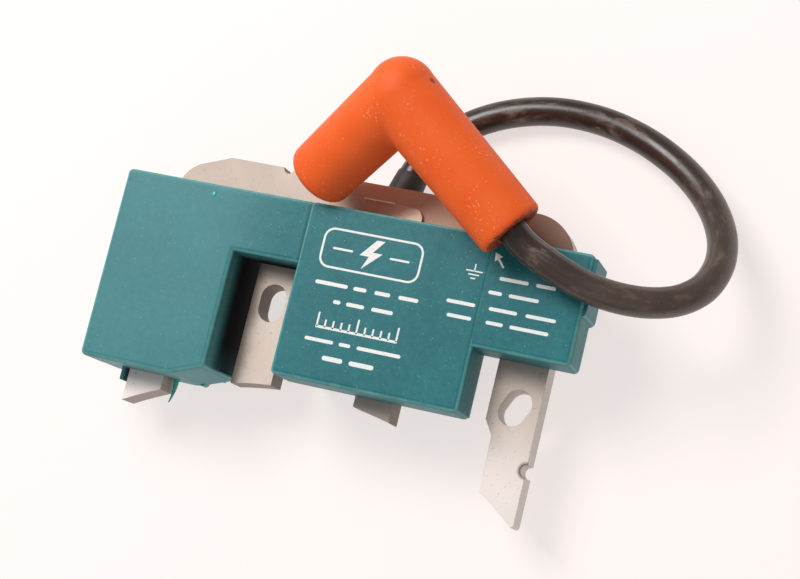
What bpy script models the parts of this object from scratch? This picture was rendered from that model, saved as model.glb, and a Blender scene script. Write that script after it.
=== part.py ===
"""Ignition coil of a small engine, lying on its back.

X runs along the yoke, Y from the flywheel side to the yoke and Z up. The origin is under the middle of the
coil's own box, without its lead and plug boot. Sizes below are millimetres.
"""

from math import cos, pi, radians, sin, sqrt

import bmesh
import bpy
from mathutils import Matrix, Vector

MM = 0.001
GAP = 0.3  # air between pieces that touch on the real coil

# Overall box
HALF_LENGTH = 58.65
HALF_DEPTH = 36.15

# Heights
CORE_LOW = 9.0
CORE_HIGH = 16.4
CASE_HIGH = 27.8
CENTRE_HIGH = 28.6
RIGHT_HIGH = 28.35
LEFT_SKIRT = 6.4  # lower edge of the left block's outer wall
WALL = 1.6
LEAD_WALL = 2.8  # the wall that the lead comes through
SLAB = (0.3, 1.9)  # resin skin that closes each opening underneath
EDGE_ROUND = 1.2
TUCK = 0.2  # how far one block of the case sits inside the surface of the next

# Case plan
CASE_BACK = 27.0
LEFT_FRONT = -19.45
LEFT_RIGHT = -27.05
CHAMFER_X = 8.4
CHAMFER_Y = 3.1
BRIDGE_FRONT = 12.0
CENTRE_LEFT = -10.65
CENTRE_RIGHT = 34.95
CENTRE_FRONT = -14.45
RIGHT_FRONT = 0.95
RIGHT_END = 57.55
BELLY = ((-7.0, -12.5), (31.0, 24.0))  # lower half of the case around the high-tension leg
LEFT_BELLY = ((-56.4, -16.8), (-31.5, 22.0))  # and around the charging leg

# Core plan: four legs on one yoke, each as (left, right)
LEGS = {"charging": (-50.05, -41.0), "left_mount": (-23.95, -13.85), "ignition": (7.15, 16.55)}
MOUNT_LEG = (38.8, 50.7)
YOKE_FRONT = 21.6
FLYWHEEL = (-6.45, -105.55)  # centre of the circle that the pole faces lie on
POLE_RADIUS = 89.6
SLOT_RADIUS = 3.2  # for M6 screws
LEFT_SLOT = ((-18.5, 3.0), 0.0, 1.4)  # centre, lean in degrees, half the straight length
RIGHT_SLOT = ((44.95, -9.35), 25.0, 1.25)

# Terminals: left side, right side and where each starts inside the case
STRAP = (-2.25, 13.15, 22.4)
BLADE = (27.6, 33.2, 22.6)

# Lead and boot
LEAD_RADIUS = 3.5
LEAD_EXIT = Vector((-0.2, BELLY[1][1], 4.4))
LEAD_WAY = Vector((0.25, 1.0, 0.0)).normalized()
STUB = 2.6  # length of lead inside the case
GLAND = 19.0  # how far the rubber gland reaches out of it
ELBOW = Vector((9.25, 51.55, 42.4))
MOUTH = Vector((-11.1, 32.6, 28.0))
CABLE_END = Vector((39.9, 27.0, 36.6))
BOOT_RADIUS = 8.6  # at the elbow
SLEEVE_END = 8.0
SOCKET_END = 8.0
SOCKET_LIP = (1.8, 6.9)  # length and end radius of the rounding at its mouth
LEAD_BORE = 4.0
PLUG_BORE = 5.6
LEAD_INSIDE = 20.0  # length of lead pushed into the boot
ROUTE = [
    (9.4, 52.2, 3.6), (16.4, 58.0, 3.6), (25.0, 62.0, 3.6),
    (35.6, 64.2, 3.6), (46.9, 63.8, 3.6), (57.4, 61.0, 3.9), (66.8, 56.2, 5.4), (74.2, 50.4, 8.0),
    (79.8, 43.6, 11.6), (83.0, 36.6, 15.8), (83.6, 30.0, 20.2), (81.8, 24.2, 24.4), (77.8, 20.2, 28.0),
    (72.2, 18.0, 30.8), (65.6, 17.4, 32.6), (58.8, 18.2, 33.6), (52.4, 20.2, 34.6),
]

# Windings: how thick each is, and the wall of its bobbin
BOBBIN_WALL = 0.8
CHARGE_WIRE = 2.2
PRIMARY_WIRE = 1.4
SECONDARY_WIRE = 1.8
SECONDARY_SECTIONS = 4
RIM = 0.6  # how far a flange stands above its winding
FLANGE = 1.0
WINDING_ROUND = 1.4  # corner radius of a winding

# Board and the pieces on it
BOARD = (21.4, 22.8)
BOARD_TOP = BOARD[1] + GAP


# Colour, roughness and metal share of each material
FINISHES = {
    "teal_resin": ((0.045, 0.21, 0.22), 0.5, 0.0),
    "potting_resin": ((0.05, 0.42, 0.4), 0.35, 0.0),
    "electrical_steel": ((0.55, 0.5, 0.46), 0.4, 1.0),
    "orange_silicone": ((0.82, 0.12, 0.02), 0.55, 0.0),
    "black_rubber": ((0.02, 0.015, 0.012), 0.5, 0.0),
    "nylon": ((0.75, 0.72, 0.62), 0.5, 0.0),
    "enamelled_copper": ((0.5, 0.16, 0.06), 0.3, 1.0),
    "tinned_copper": ((0.6, 0.45, 0.34), 0.35, 1.0),
    "brass": ((0.7, 0.5, 0.2), 0.3, 1.0),
    "circuit_laminate": ((0.03, 0.2, 0.07), 0.5, 0.0),
    "epoxy_black": ((0.02, 0.02, 0.022), 0.45, 0.0),
    "film_yellow": ((0.7, 0.5, 0.05), 0.4, 0.0),
}


def fresh_scene():
    for item in list(bpy.data.objects):
        bpy.data.objects.remove(item, do_unlink=True)
    for name in ("ignition_coil", "cutters"):
        group = bpy.data.collections.get(name) or bpy.data.collections.new(name)
        if group.name not in bpy.context.scene.collection.children:
            bpy.context.scene.collection.children.link(group)


def finish_named(name):
    colour, roughness, metallic = FINISHES[name]
    material = bpy.data.materials.get(name) or bpy.data.materials.new(name)
    material.use_nodes = True
    shader = material.node_tree.nodes["Principled BSDF"]
    shader.inputs["Base Color"].default_value = (*colour, 1.0)
    shader.inputs["Roughness"].default_value = roughness
    shader.inputs["Metallic"].default_value = metallic
    return material


def place(name, mesh, finish=None):
    """A node of the coil, or a shape in the cutters' collection when it has no finish."""
    piece = bpy.data.objects.new(name, mesh)
    if finish is None:
        piece.hide_render = True
        piece.display_type = "WIRE"
    else:
        mesh.materials.clear()
        mesh.materials.append(finish_named(finish))
    bpy.data.collections["cutters" if finish is None else "ignition_coil"].objects.link(piece)
    return piece


def mesh_of(name, shape):
    bmesh.ops.recalc_face_normals(shape, faces=shape.faces)
    mesh = bpy.data.meshes.new(name)
    shape.to_mesh(mesh)
    shape.free()
    return mesh


def arc(centre, radius, start, stop, count):
    """Points round part of a circle, from one angle to another in degrees."""
    angles = [radians(start + (stop - start) * i / count) for i in range(count + 1)]
    return [(centre[0] + radius * cos(a), centre[1] + radius * sin(a)) for a in angles]


def rectangle(low, high):
    return [(low[0], low[1]), (high[0], low[1]), (high[0], high[1]), (low[0], high[1])]


def plate(name, loops, low, high, finish=None, upright=False):
    """A flat outline with its holes, between two heights, or along Y with the outline in X and Z."""
    curve = bpy.data.curves.new(name, "CURVE")
    curve.dimensions = "2D"
    curve.fill_mode = "BOTH"
    curve.extrude = (high - low) / 2 * MM
    for loop in loops:
        spline = curve.splines.new("POLY")
        spline.points.add(len(loop) - 1)
        spline.use_cyclic_u = True
        for point, (x, y) in zip(spline.points, loop):
            point.co = (x * MM, y * MM, 0.0, 1.0)
    drawn = bpy.data.objects.new(name, curve)
    bpy.context.scene.collection.objects.link(drawn)
    bpy.context.view_layer.update()
    mesh = bpy.data.meshes.new_from_object(drawn.evaluated_get(bpy.context.evaluated_depsgraph_get()))
    bpy.data.objects.remove(drawn, do_unlink=True)
    turn = Matrix.Rotation(pi / 2, 4, "X") if upright else Matrix.Identity(4)
    middle = Vector((0, (low + high) / 2, 0)) if upright else Vector((0, 0, (low + high) / 2))
    mesh.transform(Matrix.Translation(middle * MM) @ turn)
    shape = bmesh.new()
    shape.from_mesh(mesh)
    bpy.data.meshes.remove(mesh)
    bmesh.ops.remove_doubles(shape, verts=shape.verts, dist=1e-6)
    return place(name, mesh_of(name, shape), finish)


def box(name, low, high, finish=None, rounding=0.0):
    shape = bmesh.new()
    bmesh.ops.create_cube(shape, size=1.0)
    size = Vector(high) - Vector(low)
    bmesh.ops.scale(shape, vec=size * MM, verts=shape.verts)
    bmesh.ops.translate(shape, vec=(Vector(low) + size / 2) * MM, verts=shape.verts)
    if rounding:
        bmesh.ops.bevel(shape, geom=shape.edges[:], offset=rounding * MM, segments=2, profile=0.5,
                        affect="EDGES", clamp_overlap=True)
    return place(name, mesh_of(name, shape), finish)


def rod(name, start, stop, radius, finish=None, sides=24, far_radius=None):
    """A round bar or cone between two points."""
    run = Vector(stop) - Vector(start)
    shape = bmesh.new()
    bmesh.ops.create_cone(shape, cap_ends=True, segments=sides, radius1=radius * MM,
                          radius2=(radius if far_radius is None else far_radius) * MM, depth=run.length * MM)
    turn = Vector((0, 0, 1)).rotation_difference(run).to_matrix().to_4x4()
    middle = Matrix.Translation((Vector(start) + run / 2) * MM)
    bmesh.ops.transform(shape, matrix=middle @ turn, verts=shape.verts)
    return place(name, mesh_of(name, shape), finish)


def ball(name, centre, radius):
    shape = bmesh.new()
    bmesh.ops.create_uvsphere(shape, u_segments=24, v_segments=16, radius=radius * MM)
    bmesh.ops.translate(shape, vec=Vector(centre) * MM, verts=shape.verts)
    return place(name, mesh_of(name, shape))


def combine(piece, operation, *others):
    """Adds the other shapes to a piece, or cuts them out of it."""
    for other in others:
        step = piece.modifiers.new(other.name, "BOOLEAN")
        step.operation = operation
        step.solver = "EXACT"
        step.object = other
    return piece


def smooth(piece, angle=40):
    for face in piece.data.polygons:
        face.use_smooth = True
    piece.data.set_sharp_from_angle(angle=radians(angle))
    return piece


def pole_depth(x):
    """Where the flywheel's circle crosses a leg."""
    return FLYWHEEL[1] + sqrt(POLE_RADIUS ** 2 - (x - FLYWHEEL[0]) ** 2)


def pole_face(left, right, count=4):
    return [(left + (right - left) * i / count, pole_depth(left + (right - left) * i / count))
            for i in range(count + 1)]


def slot_loop(slot, radius):
    (x, y), lean, half = slot
    reach = (half * sin(radians(lean)), half * cos(radians(lean)))
    far = arc((x + reach[0], y + reach[1]), radius, -lean, 180 - lean, 10)
    near = arc((x - reach[0], y - reach[1]), radius, 180 - lean, 360 - lean, 10)
    return far + near


def core_outline(grow=0.0):
    """The four-legged lamination, anticlockwise from the charging leg's outer side."""
    outline = []
    for left, right in LEGS.values():
        outline.append((left - grow, YOKE_FRONT - grow))
        outline += pole_face(left - grow, right + grow)
        outline.append((right + grow, YOKE_FRONT - grow))
    left, right = MOUNT_LEG
    waist, tip = left + 2.2, right - 0.5
    outline += [(left - grow, YOKE_FRONT - grow), (left - grow, -13.15), (waist - grow, -16.65)]
    outline += pole_face(waist + 0.2 - grow, tip) + [(right + grow, -HALF_DEPTH + 0.6)]
    if not grow:
        outline += arc((right, -22.85), 1.5, 270, 90, 6)
    outline += arc((39.7, 25.15), 11.0 + grow, 0, 90, 8)
    if not grow:
        outline += arc((-22.8, HALF_DEPTH), 1.3, 0, -180, 6)
    outline += [(-37.9, HALF_DEPTH + grow)] + arc((-42.05, 26.0), 8.0 + grow, 110, 180, 5)
    return outline[1:]


def make_core():
    loops = [core_outline(), slot_loop(LEFT_SLOT, SLOT_RADIUS), slot_loop(RIGHT_SLOT, SLOT_RADIUS)]
    return plate("core_laminations", loops, CORE_LOW, CORE_HIGH, "electrical_steel")


def body_outline(inset=0.0):
    """The case seen from above, anticlockwise from its back left corner."""
    i = inset
    corner = 0.42 * i
    return [
        (-HALF_LENGTH + i, CASE_BACK - i), (-HALF_LENGTH + i, LEFT_FRONT + i),
        (LEFT_RIGHT - CHAMFER_X - corner, LEFT_FRONT + i), (LEFT_RIGHT - i, LEFT_FRONT + CHAMFER_Y + corner),
        (LEFT_RIGHT - i, BRIDGE_FRONT + i), (CENTRE_LEFT + i, BRIDGE_FRONT + i),
        (CENTRE_LEFT + i, CENTRE_FRONT + i), (CENTRE_RIGHT - i, CENTRE_FRONT + i),
        (CENTRE_RIGHT - i, RIGHT_FRONT + i), (RIGHT_END - i, RIGHT_FRONT + i),
        (RIGHT_END - i, CASE_BACK - i),
    ]


def left_outline(inset):
    return body_outline(inset)[:4] + [(LEFT_RIGHT - inset, CASE_BACK - inset)]


def rounded_block(name, outline, low, high, finish=None):
    """A block whose upper and standing edges are rounded over."""
    block = plate(name, [outline], low, high, finish)
    shape = bmesh.new()
    shape.from_mesh(block.data)
    bmesh.ops.dissolve_limit(shape, angle_limit=radians(1), verts=shape.verts, edges=shape.edges)
    floor = low * MM + 1e-5
    rounded = [edge for edge in shape.edges if max(v.co.z for v in edge.verts) > floor]
    bmesh.ops.bevel(shape, geom=rounded, offset=EDGE_ROUND * MM, segments=2, profile=0.5, affect="EDGES",
                    clamp_overlap=True)
    shape.to_mesh(block.data)
    shape.free()
    return block


def belly_hollow(belly, back_wall, clear=0.0):
    (x0, y0), (x1, y1) = belly
    inset = WALL + clear
    return rectangle((x0 + inset, y0 + inset), (x1 - inset, y1 - back_wall - clear))


def make_case():
    """One moulded shell, open underneath, that the core passes through."""
    centre = rectangle((CENTRE_LEFT, CENTRE_FRONT), (CENTRE_RIGHT, CASE_BACK))
    shoulder = [(LEFT_RIGHT - 6, CASE_BACK - TUCK), (LEFT_RIGHT - 6, BRIDGE_FRONT), (0.0, BRIDGE_FRONT),
                (0.0, RIGHT_FRONT + TUCK), (RIGHT_END - TUCK, RIGHT_FRONT + TUCK), (RIGHT_END - TUCK, CASE_BACK - TUCK)]
    right = rectangle((CENTRE_RIGHT - 6, RIGHT_FRONT), (RIGHT_END, CASE_BACK - TUCK / 2))
    end_boss = [(RIGHT_END - 1, 26.0), *arc((RIGHT_END - 0.7, 13.8), 1.8, 180, 360, 8), (HALF_LENGTH, 26.0)]
    case = rounded_block("case", left_outline(0.0), LEFT_SKIRT, CASE_HIGH, "teal_resin")
    combine(
        case, "UNION",
        rounded_block("shoulder", shoulder, CORE_HIGH + GAP, CASE_HIGH - TUCK),
        rounded_block("centre_top", centre, CORE_HIGH + GAP + 0.1, CENTRE_HIGH),
        rounded_block("right_top", right, CORE_HIGH + GAP + 0.05, RIGHT_HIGH),
        plate("belly", [rectangle(*BELLY)], 0.0, CORE_HIGH + 2),
        plate("left_belly", [rectangle(*LEFT_BELLY)], 0.0, LEFT_SKIRT + WALL),
        plate("end_boss", [end_boss], 14.5, RIGHT_HIGH - 0.75),
        box("leg_rib", (-51.75, -22.65, CORE_LOW), (-50.45, LEFT_FRONT + 1, CORE_HIGH + 1.0)),
    )
    return combine(
        case, "DIFFERENCE",
        plate("upper_hollow", [body_outline(WALL)], CORE_HIGH + GAP + WALL, CASE_HIGH - WALL),
        plate("left_hollow", [left_outline(WALL)], LEFT_SKIRT + WALL, CASE_HIGH - WALL - 0.1),
        plate("left_belly_hollow", [belly_hollow(LEFT_BELLY, WALL)], -1.0, LEFT_SKIRT + WALL + 1),
        plate("belly_hollow", [belly_hollow(BELLY, LEAD_WALL)], -1.0, CASE_HIGH - WALL - 0.2),
        plate("core_slot", [core_outline(GAP)], CORE_LOW - GAP, CORE_HIGH + GAP),
        rod("lead_hole", LEAD_EXIT - LEAD_WAY * 6, LEAD_EXIT + LEAD_WAY * 2, LEAD_RADIUS + GAP),
        box("strap_slot", (STRAP[0] - GAP, 20.0, CORE_HIGH), (STRAP[1] + GAP, 28.0, CORE_HIGH + 1.7)),
        box("blade_slot", (BLADE[0] - GAP, 20.0, 20.7), (BLADE[1] + GAP, 28.0, 22.1)),
    )


def frame_loop(hole, wall, rounding):
    """The outline of a coil round a leg, in X and Z: the hole grown by its wall, with round corners."""
    (x0, z0), (x1, z1) = grown(hole, wall - rounding)
    corners = ((x1, z1), (x0, z1), (x0, z0), (x1, z0))
    quarters = [arc(corner, rounding, 90 * i, 90 * i + 90, 3) for i, corner in enumerate(corners)]
    return [point for quarter in quarters for point in quarter]


def grown(hole, by):
    return (hole[0][0] - by, hole[0][1] - by), (hole[1][0] + by, hole[1][1] + by)


def make_former(name, hole, wall, run, flanges, flange_wall):
    """A moulded former with thin walls and a flange at each of the given stretches of its run."""
    former = plate(name, [frame_loop(hole, wall, wall)], run[0] + 0.3, run[1] - 0.3, "nylon", upright=True)
    solid = frame_loop(hole, flange_wall, 1.5)
    combine(former, "UNION", *[plate(f"{name}_flange_{i}", [solid], *stretch, upright=True)
                               for i, stretch in enumerate(flanges)])
    (x0, z0), (x1, z1) = hole
    return combine(former, "DIFFERENCE", box(f"{name}_hole", (x0, run[0] - 1, z0), (x1, run[1] + 1, z1)))


def make_winding(name, hole, thickness, run):
    loops = [frame_loop(hole, thickness, WINDING_ROUND), rectangle(*hole)]
    plate(name, loops, *run, "enamelled_copper", upright=True)


def make_coil(name, leg, run, thickness):
    """A two-flanged former on a leg and the winding on it; returns the space left outside the winding."""
    hole = grown(((leg[0], CORE_LOW), (leg[1], CORE_HIGH)), GAP)
    flanges = ((run[0], run[0] + FLANGE), (run[1] - FLANGE, run[1]))
    make_former(f"{name}_bobbin", hole, BOBBIN_WALL, run, flanges, BOBBIN_WALL + thickness + RIM)
    around = grown(hole, BOBBIN_WALL + GAP)
    inside = run[0] + FLANGE + GAP, run[1] - FLANGE - GAP
    make_winding(f"{name}_winding", around, thickness, inside)
    return grown(around, thickness + GAP), inside


def make_windings():
    make_coil("charge", LEGS["charging"], (-14.4, 19.4), CHARGE_WIRE)
    hole, (start, stop) = make_coil("primary", LEGS["ignition"], (-10.4, 20.6), PRIMARY_WIRE)
    pitch = (stop - start - FLANGE) / SECONDARY_SECTIONS
    ribs = [(start + i * pitch, start + i * pitch + FLANGE) for i in range(SECONDARY_SECTIONS + 1)]
    rim = BOBBIN_WALL + SECONDARY_WIRE + RIM
    make_former("secondary_bobbin", hole, BOBBIN_WALL, (start, stop), ribs, rim)
    around = grown(hole, BOBBIN_WALL + GAP)
    for i, (low, high) in enumerate(zip(ribs, ribs[1:])):
        make_winding(f"secondary_winding_{i + 1}", around, SECONDARY_WIRE, (low[1] + GAP, high[0] - GAP))


def make_resin():
    plate("potting_left", [belly_hollow(LEFT_BELLY, WALL, GAP)], *SLAB, "potting_resin")
    plate("potting_centre", [belly_hollow(BELLY, LEAD_WALL, GAP)], *SLAB, "potting_resin")
    wall = LEFT_FRONT - GAP
    side = LEGS["charging"][1] + GAP
    sliver = [(side, wall), (side, wall - 6.0), (side + 0.5, wall - 6.2), (side + 1.5, wall)]
    plate("resin_flash", [sliver], CORE_LOW + 1.0, CORE_LOW + 2.4, "potting_resin")


def make_electronics():
    """The board over the charging leg with its small parts, and the capacitor beside the ignition leg."""
    plate("circuit_board", [rectangle((-56.4, -13.0), (-29.6, 24.0))], *BOARD, "circuit_laminate")
    box("thyristor", (-54.6, 8.0, BOARD_TOP), (-44.6, 22.0, BOARD_TOP + 2.8), "epoxy_black", 0.3)
    box("timing_chip", (-53.6, -6.0, BOARD_TOP), (-47.4, 2.6, BOARD_TOP + 1.6), "epoxy_black", 0.2)
    box("storage_capacitor", (37.4, 4.6, CORE_HIGH + 2.4), (53.4, 19.6, CORE_HIGH + 9.2), "film_yellow", 0.8)
    for i, x in enumerate((-41.0, -36.0)):
        bead(f"diode_{i + 1}", (x, 9.0), 5.5, 1.25, "epoxy_black")
        bead(f"resistor_{i + 1}", (x, -2.0), 6.5, 1.15, "nylon")


def bead(name, at, length, radius, finish):
    """A small round part lying along Y on the board."""
    height = BOARD_TOP + radius
    smooth(rod(name, (*at, height), (at[0], at[1] + length, height), radius, finish, 16))


def tube(name, points, radius, finish, resolution=2):
    curve = bpy.data.curves.new(name, "CURVE")
    curve.dimensions = "3D"
    curve.bevel_depth = radius * MM
    curve.bevel_resolution = resolution
    curve.use_fill_caps = True
    spline = curve.splines.new("POLY")
    spline.points.add(len(points) - 1)
    for point, at in zip(spline.points, points):
        point.co = (*(Vector(at) * MM), 1.0)
    curve.materials.append(finish_named(finish))
    piece = bpy.data.objects.new(name, curve)
    bpy.data.collections["ignition_coil"].objects.link(piece)
    return piece


def make_wiring():
    """The soldered links between board, windings and terminals, run over the core inside the case."""
    links = {
        "charge_wire": (0.4, [(-35.4, 16.0, 19.6), (-34.4, 16.2, 20.4), (-33.4, 17.0, 20.8)]),
        "primary_wire": (0.5, [(-29.2, 20.0, 22.2), (-26.0, 21.0, 22.8), (-16.0, 21.6, 23.0), (0.0, 22, 23.4)]),
        "capacitor_wire": (0.5, [(24.8, 22.6, 23.6), (30.0, 22.4, 24.2), (36.0, 21.6, 24.2), (40, 20.6, 22.6)]),
    }
    for name, (radius, points) in links.items():
        tube(name, points, radius, "enamelled_copper")


def make_terminals():
    left, right, root = STRAP
    strap = [(left, root), (right, root), *arc((right - 2.5, 29.35), 2.5, 0, 90, 5), (left + 8.5, 31.85),
             (left + 8.1, 32.15), (left + 0.5, 32.15), (left, 31.65)]
    plate("ground_strap", [strap], CORE_HIGH + GAP, CORE_HIGH + 1.1, "tinned_copper")
    left, right, root = BLADE
    blade = [(left, 28.0), (right, 28.0), (right, 31.4), (right - 1.3, 32.4), (left + 1.3, 32.4), (left, 31.4)]
    hole = arc(((left + right) / 2, 30.2), 0.75, 0, 330, 11)
    terminal = plate("kill_terminal", [blade, hole], 21.1, 21.7, "tinned_copper")
    combine(terminal, "UNION", plate("blade_root", [rectangle((left + 0.1, root), (right - 0.1, 28.2))], 21.0, 21.8))
    start = LEAD_EXIT - LEAD_WAY * (STUB + GAP)
    contact = rod("ht_contact", start, start - LEAD_WAY, 2.1, "brass", 20)
    stem = rod("contact_stem", start - LEAD_WAY * 0.5, start - LEAD_WAY * 7, 0.8, sides=16)
    combine(contact, "UNION", stem)
    smooth(contact)


def smooth_route(points, per_span):
    """Points on a smooth curve through the route's own points, centripetal so that it never loops."""
    way = [Vector(p) for p in points]
    ends = [2 * way[0] - way[1]] + way + [2 * way[-1] - way[-2]]
    found = []
    for p0, p1, p2, p3 in zip(ends, ends[1:], ends[2:], ends[3:]):
        t1 = sqrt((p1 - p0).length)
        t2 = t1 + sqrt((p2 - p1).length)
        t3 = t2 + sqrt((p3 - p2).length)
        for i in range(per_span):
            t = t1 + (t2 - t1) * i / per_span
            a1 = p0.lerp(p1, t / t1)
            a2 = p1.lerp(p2, (t - t1) / (t2 - t1))
            a3 = p2.lerp(p3, (t - t2) / (t3 - t2))
            b1 = a1.lerp(a2, t / t2)
            b2 = a2.lerp(a3, (t - t1) / (t3 - t1))
            found.append(b1.lerp(b2, (t - t1) / (t2 - t1)))
    return found + [way[-1]]


def lead_route():
    """Straight out of the gland, round behind the coil and back over it into the boot."""
    along = (ELBOW - CABLE_END).normalized()
    out = [LEAD_EXIT + LEAD_WAY * reach for reach in (-STUB, 0.0, GLAND / 2, GLAND + 1)]
    into = [CABLE_END - along * 4, CABLE_END + along, CABLE_END + along * LEAD_INSIDE]
    return [*out, *map(Vector, ROUTE), *into]


def make_lead():
    tube("ht_lead", smooth_route(lead_route(), 3), LEAD_RADIUS, "black_rubber", 3)
    start, stop = LEAD_EXIT + LEAD_WAY * 1.2, LEAD_EXIT + LEAD_WAY * GLAND
    gland = rod("lead_gland", start, stop, 4.35, "black_rubber", 24, 4.05)
    combine(gland, "DIFFERENCE", rod("gland_bore", start - LEAD_WAY, stop + LEAD_WAY, LEAD_RADIUS + 0.25))
    smooth(gland)


def make_boot():
    """The right-angled plug boot: cable sleeve, elbow and plug socket, with the terminal clip inside."""
    sleeve_way = (CABLE_END - ELBOW).normalized()
    socket_way = (MOUTH - ELBOW).normalized()
    lip = MOUTH - socket_way * SOCKET_LIP[0]
    boot = rod("plug_boot", ELBOW, CABLE_END, BOOT_RADIUS, "orange_silicone", 28, SLEEVE_END)
    combine(
        boot, "UNION",
        rod("boot_socket", ELBOW, lip, BOOT_RADIUS, None, 28, SOCKET_END),
        rod("boot_lip", lip - socket_way * 0.5, MOUTH, SOCKET_END, None, 28, SOCKET_LIP[1]),
        ball("boot_elbow", ELBOW, BOOT_RADIUS + 0.15),
    )
    combine(
        boot, "DIFFERENCE",
        rod("sleeve_bore", ELBOW - sleeve_way * 2.0, CABLE_END + sleeve_way, LEAD_BORE),
        rod("socket_bore", ELBOW - socket_way * 2.0, MOUTH + socket_way, PLUG_BORE),
    )
    tip = ELBOW + sleeve_way * ((CABLE_END - ELBOW).length - LEAD_INSIDE - GAP)
    clip_low, clip_high = ELBOW + socket_way * 7.0, ELBOW + socket_way * 19.0
    clip = rod("plug_clip", clip_low, clip_high, 4.4, "brass", 20)
    combine(clip, "UNION",
            rod("clip_stem", ELBOW, clip_low + socket_way, 1.6, sides=16),
            rod("clip_crimp", ELBOW - sleeve_way, tip, 1.6, sides=16))
    bore = rod("clip_bore", clip_low + socket_way * 1.4, clip_high + socket_way, 3.3, sides=20)
    combine(clip, "DIFFERENCE", bore)
    smooth(boot)
    smooth(clip)


def make_joint_marker():
    """An empty on the boot's turning axis, which carries the boot and its clip."""
    pivot = bpy.data.objects.new("boot_pivot", None)
    pivot.location = CABLE_END * MM
    bpy.data.collections["ignition_coil"].objects.link(pivot)
    bpy.context.view_layer.update()
    for name in ("plug_boot", "plug_clip"):
        piece = bpy.data.objects[name]
        piece.parent = pivot
        piece.matrix_parent_inverse = pivot.matrix_world.inverted()


fresh_scene()
make_core()
make_case()
make_windings()
make_resin()
make_electronics()
make_wiring()
make_terminals()
make_lead()
make_boot()
make_joint_marker()
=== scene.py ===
from math import cos, pi, radians, sin, sqrt

import bmesh
import bpy
from mathutils import Matrix, Vector


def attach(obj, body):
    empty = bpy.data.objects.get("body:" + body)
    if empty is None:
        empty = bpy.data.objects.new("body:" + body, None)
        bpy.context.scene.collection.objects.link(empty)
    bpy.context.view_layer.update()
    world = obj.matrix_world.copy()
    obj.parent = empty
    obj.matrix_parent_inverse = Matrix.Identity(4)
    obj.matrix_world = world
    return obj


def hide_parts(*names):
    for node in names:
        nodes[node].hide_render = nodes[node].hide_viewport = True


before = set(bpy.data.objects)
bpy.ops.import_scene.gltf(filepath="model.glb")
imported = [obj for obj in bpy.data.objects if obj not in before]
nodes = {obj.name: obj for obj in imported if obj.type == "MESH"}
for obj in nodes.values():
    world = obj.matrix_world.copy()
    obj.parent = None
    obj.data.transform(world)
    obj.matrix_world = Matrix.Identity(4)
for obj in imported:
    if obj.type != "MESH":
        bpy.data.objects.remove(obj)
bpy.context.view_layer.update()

# An ignition coil of a small engine, lying on its back on a pale table: X runs along the yoke, Y from the
# flywheel side to the yoke, and Z up. Sizes are in millimetres until a mesh is placed.
MM = 0.001


# ---- Camera ----
# A short telephoto lens, held over the coil's right front corner and looking almost straight down.
camera_data = bpy.data.cameras.new("camera")
camera_data.sensor_width = 36.0
camera_data.lens = 83.7
camera = bpy.data.objects.new("camera", camera_data)
camera.location = (0.13745, -0.04955, 0.4302)
tilt = Matrix.Rotation(radians(8.5), 3, "X")
lean = Matrix.Rotation(radians(16.74), 3, "Y")
roll = Matrix.Rotation(radians(11.23), 3, "Z")
camera.rotation_euler = (tilt @ lean @ roll).to_euler()
bpy.context.scene.collection.objects.link(camera)
bpy.context.scene.camera = camera


# ---- High-tension lead ----
# A 7 mm ignition cable with a brown-black rubber jacket, extruded round its core. It comes out from under the
# yoke, lies on the table, and rises over the end of the coil into the boot. Handling has polished it in streaks.
LEAD_RADIUS = 3.5
LEAD_STUB = 2.6
GLAND_REACH = 19.0
LEAD_EXIT = Vector((-0.2, 24.0, 4.4))
LEAD_WAY = Vector((0.25, 1.0, 0.0)).normalized()
ELBOW = Vector((9.25, 51.55, 42.4))
MOUTH = Vector((-11.1, 32.6, 28.0))
CABLE_END = Vector((39.9, 27.0, 36.6))
LEAD_INSIDE = 20.0
ROUTE = [
    (9.4, 52.2, 3.6), (16.4, 58.0, 3.6), (25.0, 62.0, 3.6),
    (35.6, 64.2, 3.6), (46.9, 63.8, 3.6), (57.4, 61.0, 3.9), (66.8, 56.2, 5.4), (74.2, 50.4, 8.0),
    (79.8, 43.6, 11.6), (83.0, 36.6, 15.8), (83.6, 30.0, 20.2), (81.8, 24.2, 24.4), (77.8, 20.2, 28.0),
    (72.2, 18.0, 30.8), (65.6, 17.4, 32.6), (58.8, 18.2, 33.6), (52.4, 20.2, 34.6),
]


def smooth_route(points, per_span):
    """Points on a smooth curve through the route's own points, centripetal so that it never loops."""
    way = [Vector(p) for p in points]
    ends = [2 * way[0] - way[1]] + way + [2 * way[-1] - way[-2]]
    found = []
    for p0, p1, p2, p3 in zip(ends, ends[1:], ends[2:], ends[3:]):
        t1 = sqrt((p1 - p0).length)
        t2 = t1 + sqrt((p2 - p1).length)
        t3 = t2 + sqrt((p3 - p2).length)
        for i in range(per_span):
            t = t1 + (t2 - t1) * i / per_span
            a1 = p0.lerp(p1, t / t1)
            a2 = p1.lerp(p2, (t - t1) / (t2 - t1))
            a3 = p2.lerp(p3, (t - t2) / (t3 - t2))
            b1 = a1.lerp(a2, t / t2)
            b2 = a2.lerp(a3, (t - t1) / (t3 - t1))
            found.append(b1.lerp(b2, (t - t1) / (t2 - t1)))
    return found + [way[-1]]


def linear(code):
    """An sRGB hex colour as linear light."""
    parts = [int(code[i:i + 2], 16) / 255 for i in (1, 3, 5)]
    return [p / 12.92 if p <= 0.04045 else ((p + 0.055) / 1.055) ** 2.4 for p in parts] + [1.0]


def new_material(name):
    made = bpy.data.materials.new(name)
    made.use_nodes = True
    return made, made.node_tree, made.node_tree.nodes["Principled BSDF"]


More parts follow.
